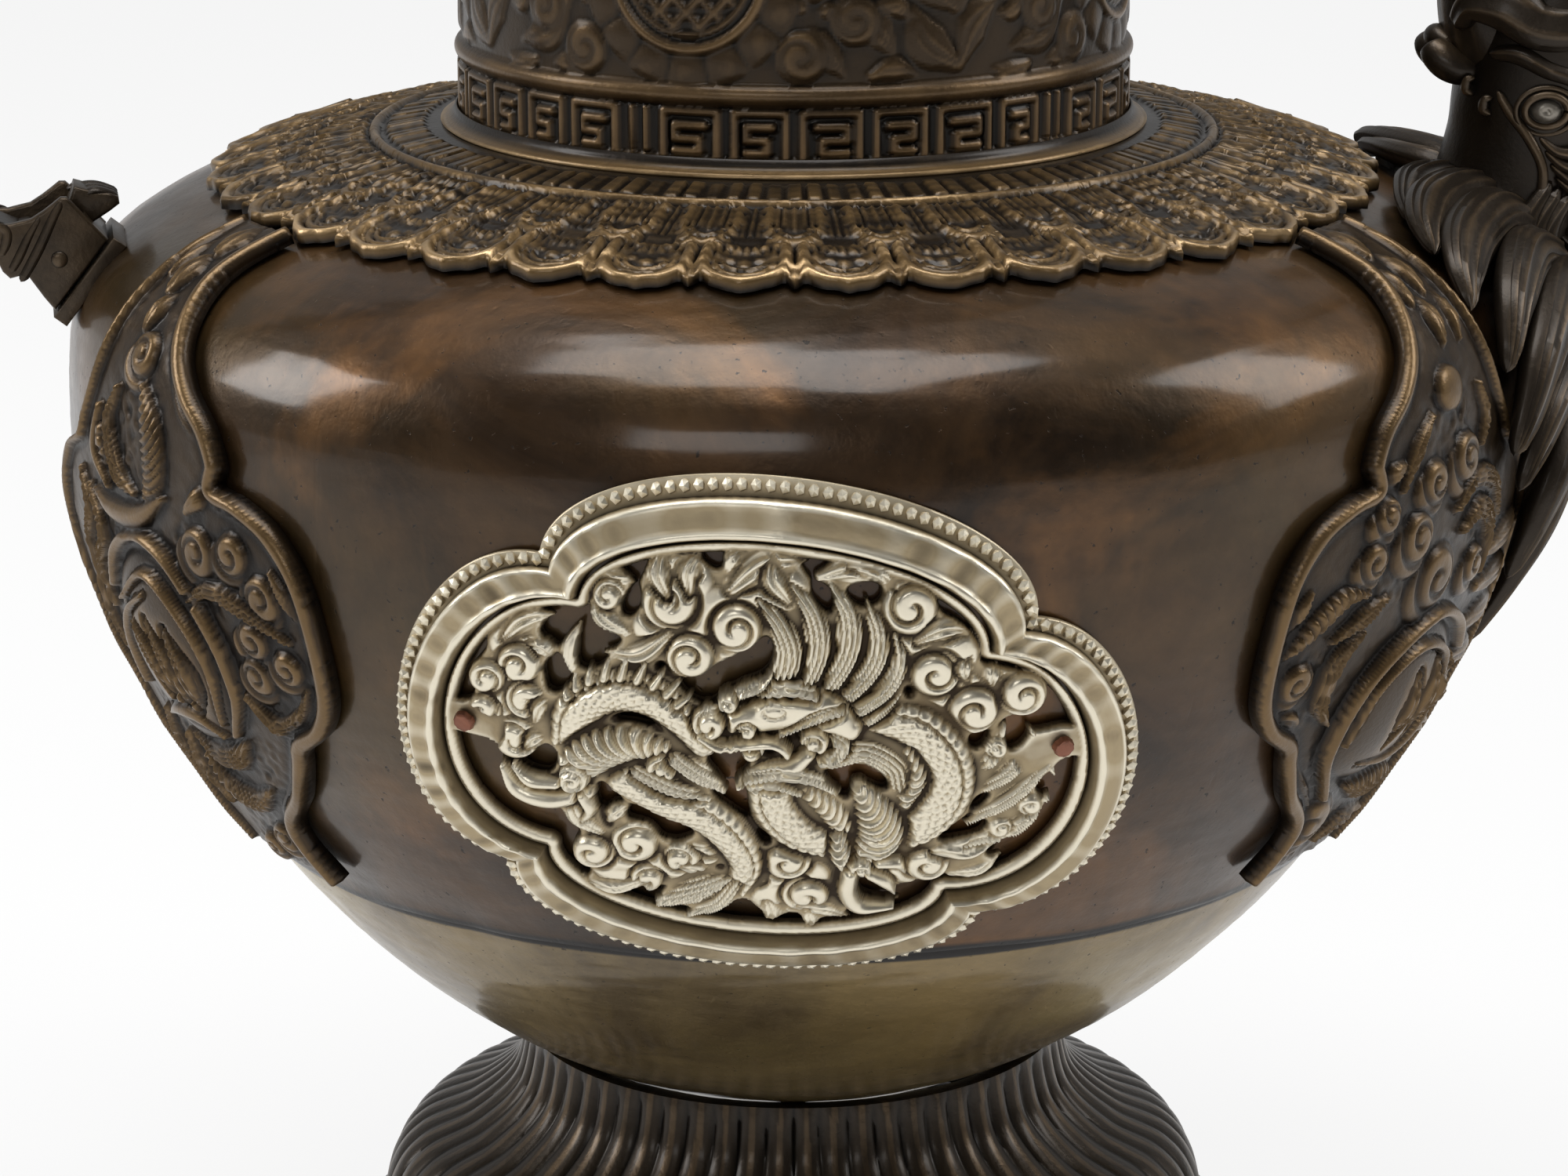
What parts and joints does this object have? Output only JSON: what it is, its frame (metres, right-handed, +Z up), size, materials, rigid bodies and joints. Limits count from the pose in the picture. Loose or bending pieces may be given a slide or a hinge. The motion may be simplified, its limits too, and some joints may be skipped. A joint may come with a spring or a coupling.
{
  "type": "teapot",
  "caption": "round-bodied metal teapot on a fluted foot, with a straight neck, loose domed lid, curved spout, strap handle and openwork relief plaques",
  "frame": {"origin": "on the body's axis, in the plane that the foot stands on", "axes": "+Z up along the body's axis, +X towards the spout, -X towards the handle, -Y the front face"},
  "size_m": [0.3622, 0.2502, 0.3423],
  "materials": {
    "copper": "aged brown copper with a satin patina",
    "brassy_copper": "olive-brassy aged copper",
    "dark_bronze": "near-black cast bronze, brassy where worn",
    "worn_bronze": "dark relief with worn brassy edges",
    "silver": "tarnished warm silver with dark recesses",
    "red_copper": "reddish hammered copper"
  },
  "bodies": {
    "pot": {"foot_skirt": "dark_bronze", "foot_base_ring": "dark_bronze", "lower_bowl": "brassy_copper", "upper_shell": "copper", "shoulder_collar": "worn_bronze", "neck_base_ring": "dark_bronze", "neck_shell": "copper", "mouth_rim": "copper", "plaque_frame_front": "silver", "plaque_bead_front": "silver", "plaque_panel_front": "silver", "plaque_rivet_front_1": "red_copper", "plaque_rivet_front_2": "red_copper", "plaque_frame_back": "silver", "plaque_bead_back": "silver", "plaque_panel_back": "silver", "plaque_rivet_back_1": "red_copper", "plaque_rivet_back_2": "red_copper", "side_plate_front_right": "worn_bronze", "side_plate_front_left": "worn_bronze", "side_plate_back_right": "worn_bronze", "side_plate_back_left": "worn_bronze", "spout_root": "dark_bronze", "spout_tube": "dark_bronze", "spout_lip": "dark_bronze", "spout_eye_front": "silver", "spout_eye_back": "silver", "handle_flange": "dark_bronze", "handle_root": "dark_bronze", "handle_strap": "dark_bronze", "handle_neck_sleeve": "dark_bronze", "handle_neck_pad": "dark_bronze", "handle_root_pin": "red_copper", "handle_neck_pin": "red_copper"},
    "lid": {"lid_rim_ring": "copper", "lid_spigot": "copper", "lid_dome": "copper", "finial_base": "worn_bronze", "finial_bud": "worn_bronze"}
  },
  "joints": [
    {"name": "lid_lift", "type": "slide", "parent": "pot", "child": "lid", "axis": [0, 0, 1], "range_m": [0, 0.06]}
  ]
}
